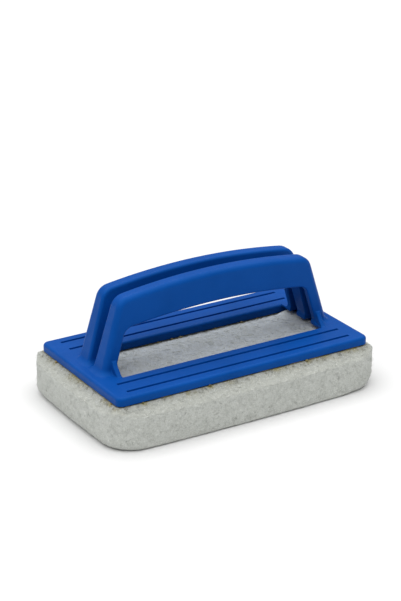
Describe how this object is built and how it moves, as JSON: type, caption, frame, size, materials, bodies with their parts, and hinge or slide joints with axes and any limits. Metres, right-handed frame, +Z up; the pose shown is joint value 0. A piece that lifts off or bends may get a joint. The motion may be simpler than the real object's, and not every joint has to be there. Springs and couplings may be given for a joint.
{
  "type": "handled grout scrub pad",
  "caption": "Hand-held scrub pad for washing and finishing grout: a moulded frame with a twin-ridge grip, glued to a thick non-woven pad.",
  "frame": {"origin": "centre of the pad's underside, on the surface that the tool stands on", "axes": "+X along the tool's length, +Y across it and away from the side that has the two gussets, +Z up through the grip"},
  "size_m": [0.1656, 0.0996, 0.0705],
  "materials": {
    "holder_plastic": "satin",
    "adhesive": "satin",
    "pad_fibre": "matte"
  },
  "bodies": {
    "root": {"pad_holder": "holder_plastic", "adhesive_layer": "adhesive", "scrub_pad": "pad_fibre"}
  },
  "joints": []
}
